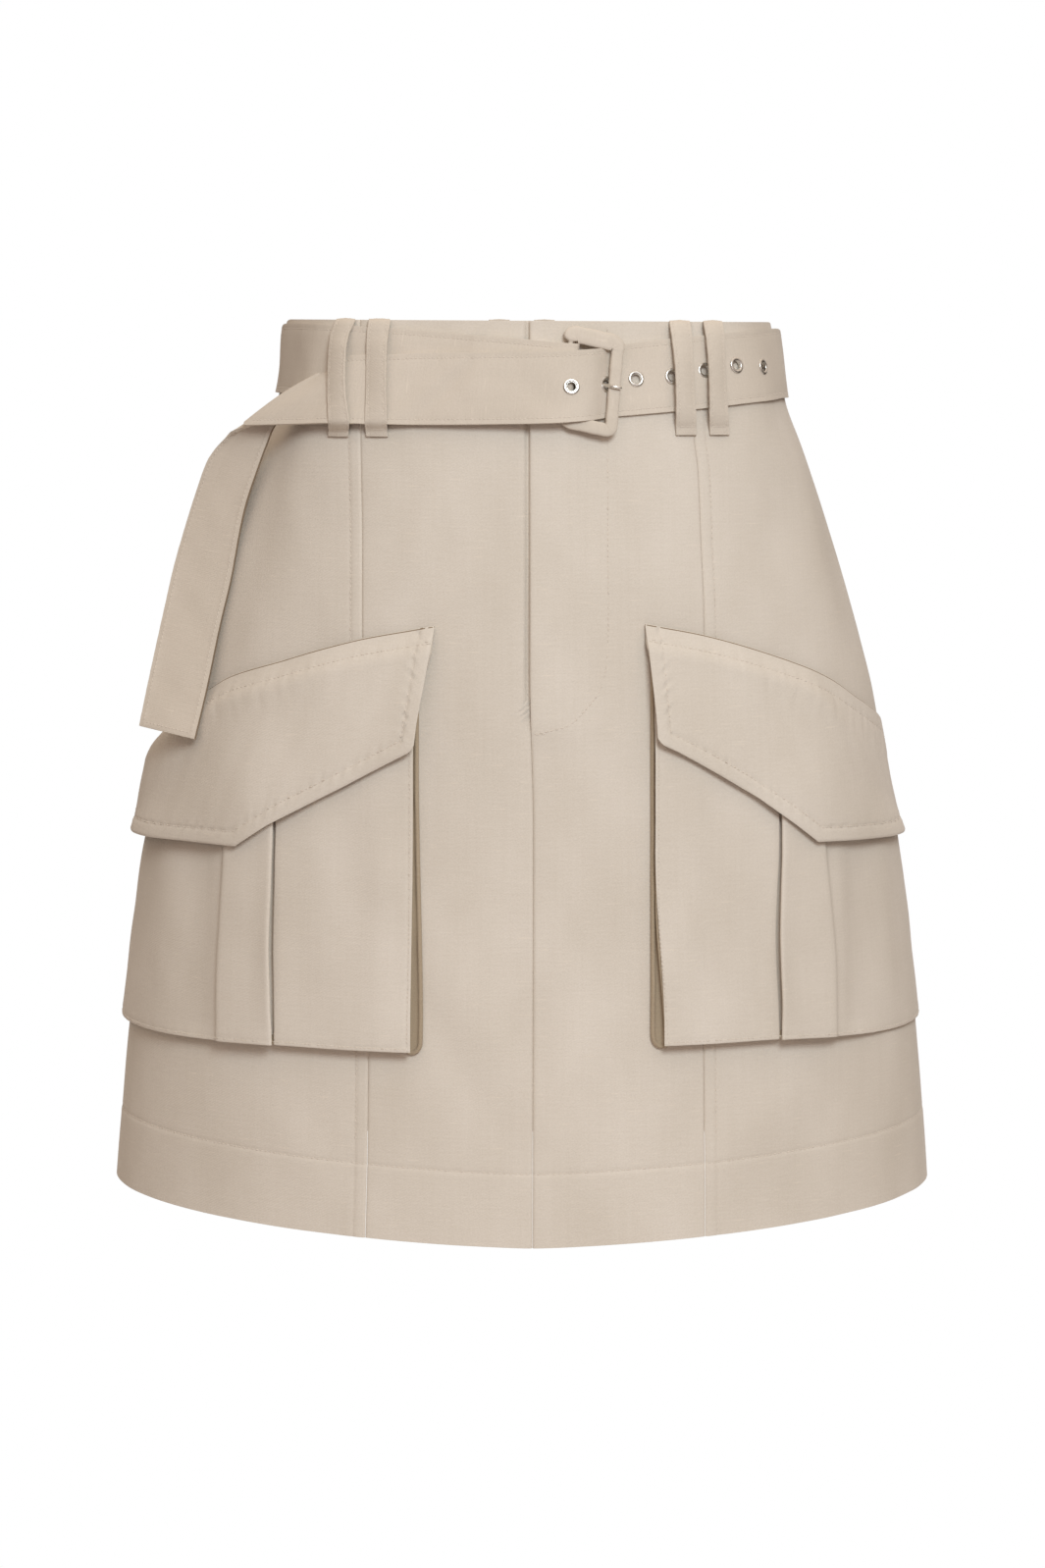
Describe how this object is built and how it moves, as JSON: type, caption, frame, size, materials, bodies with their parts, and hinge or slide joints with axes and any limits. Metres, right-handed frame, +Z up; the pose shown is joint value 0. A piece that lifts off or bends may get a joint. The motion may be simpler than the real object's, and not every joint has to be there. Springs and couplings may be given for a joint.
{
  "type": "cargo utility skirt",
  "caption": "A-line cotton mini skirt with front fly, bellows cargo pockets under slanted flaps, paired belt loops and a matching eyelet belt with covered buckle, tail folded over and hanging",
  "frame": {"origin": "centre of the waist opening, level with the waist's top edge", "axes": "+Z up through the waist, -Y out of the front, +X to the wearer's left"},
  "size_m": [0.4228, 0.3029, 0.4523],
  "materials": {
    "twill": "matt stone-coloured cotton twill",
    "belt_cloth": "matt stone-coloured cotton twill, stiffened",
    "nickel": "polished nickel plate"
  },
  "bodies": {
    "root": {"front_left": "twill", "front_right": "twill", "side_front_left": "twill", "side_front_right": "twill", "back": "twill", "pocket_face_left": "twill", "pocket_gusset_left": "twill", "pocket_flap_left": "twill", "pocket_face_right": "twill", "pocket_gusset_right": "twill", "pocket_flap_right": "twill", "belt": "belt_cloth", "buckle_frame": "belt_cloth", "eyelet_1": "nickel", "eyelet_2": "nickel", "eyelet_3": "nickel", "eyelet_4": "nickel", "eyelet_5": "nickel", "eyelet_6": "nickel", "eyelet_7": "nickel", "buckle_prong": "nickel", "belt_loop_right_outer": "belt_cloth", "belt_loop_right_inner": "belt_cloth", "belt_loop_left_inner": "belt_cloth", "belt_loop_left_outer": "belt_cloth", "belt_loop_back_left": "belt_cloth", "belt_loop_back_right": "belt_cloth"}
  },
  "joints": []
}
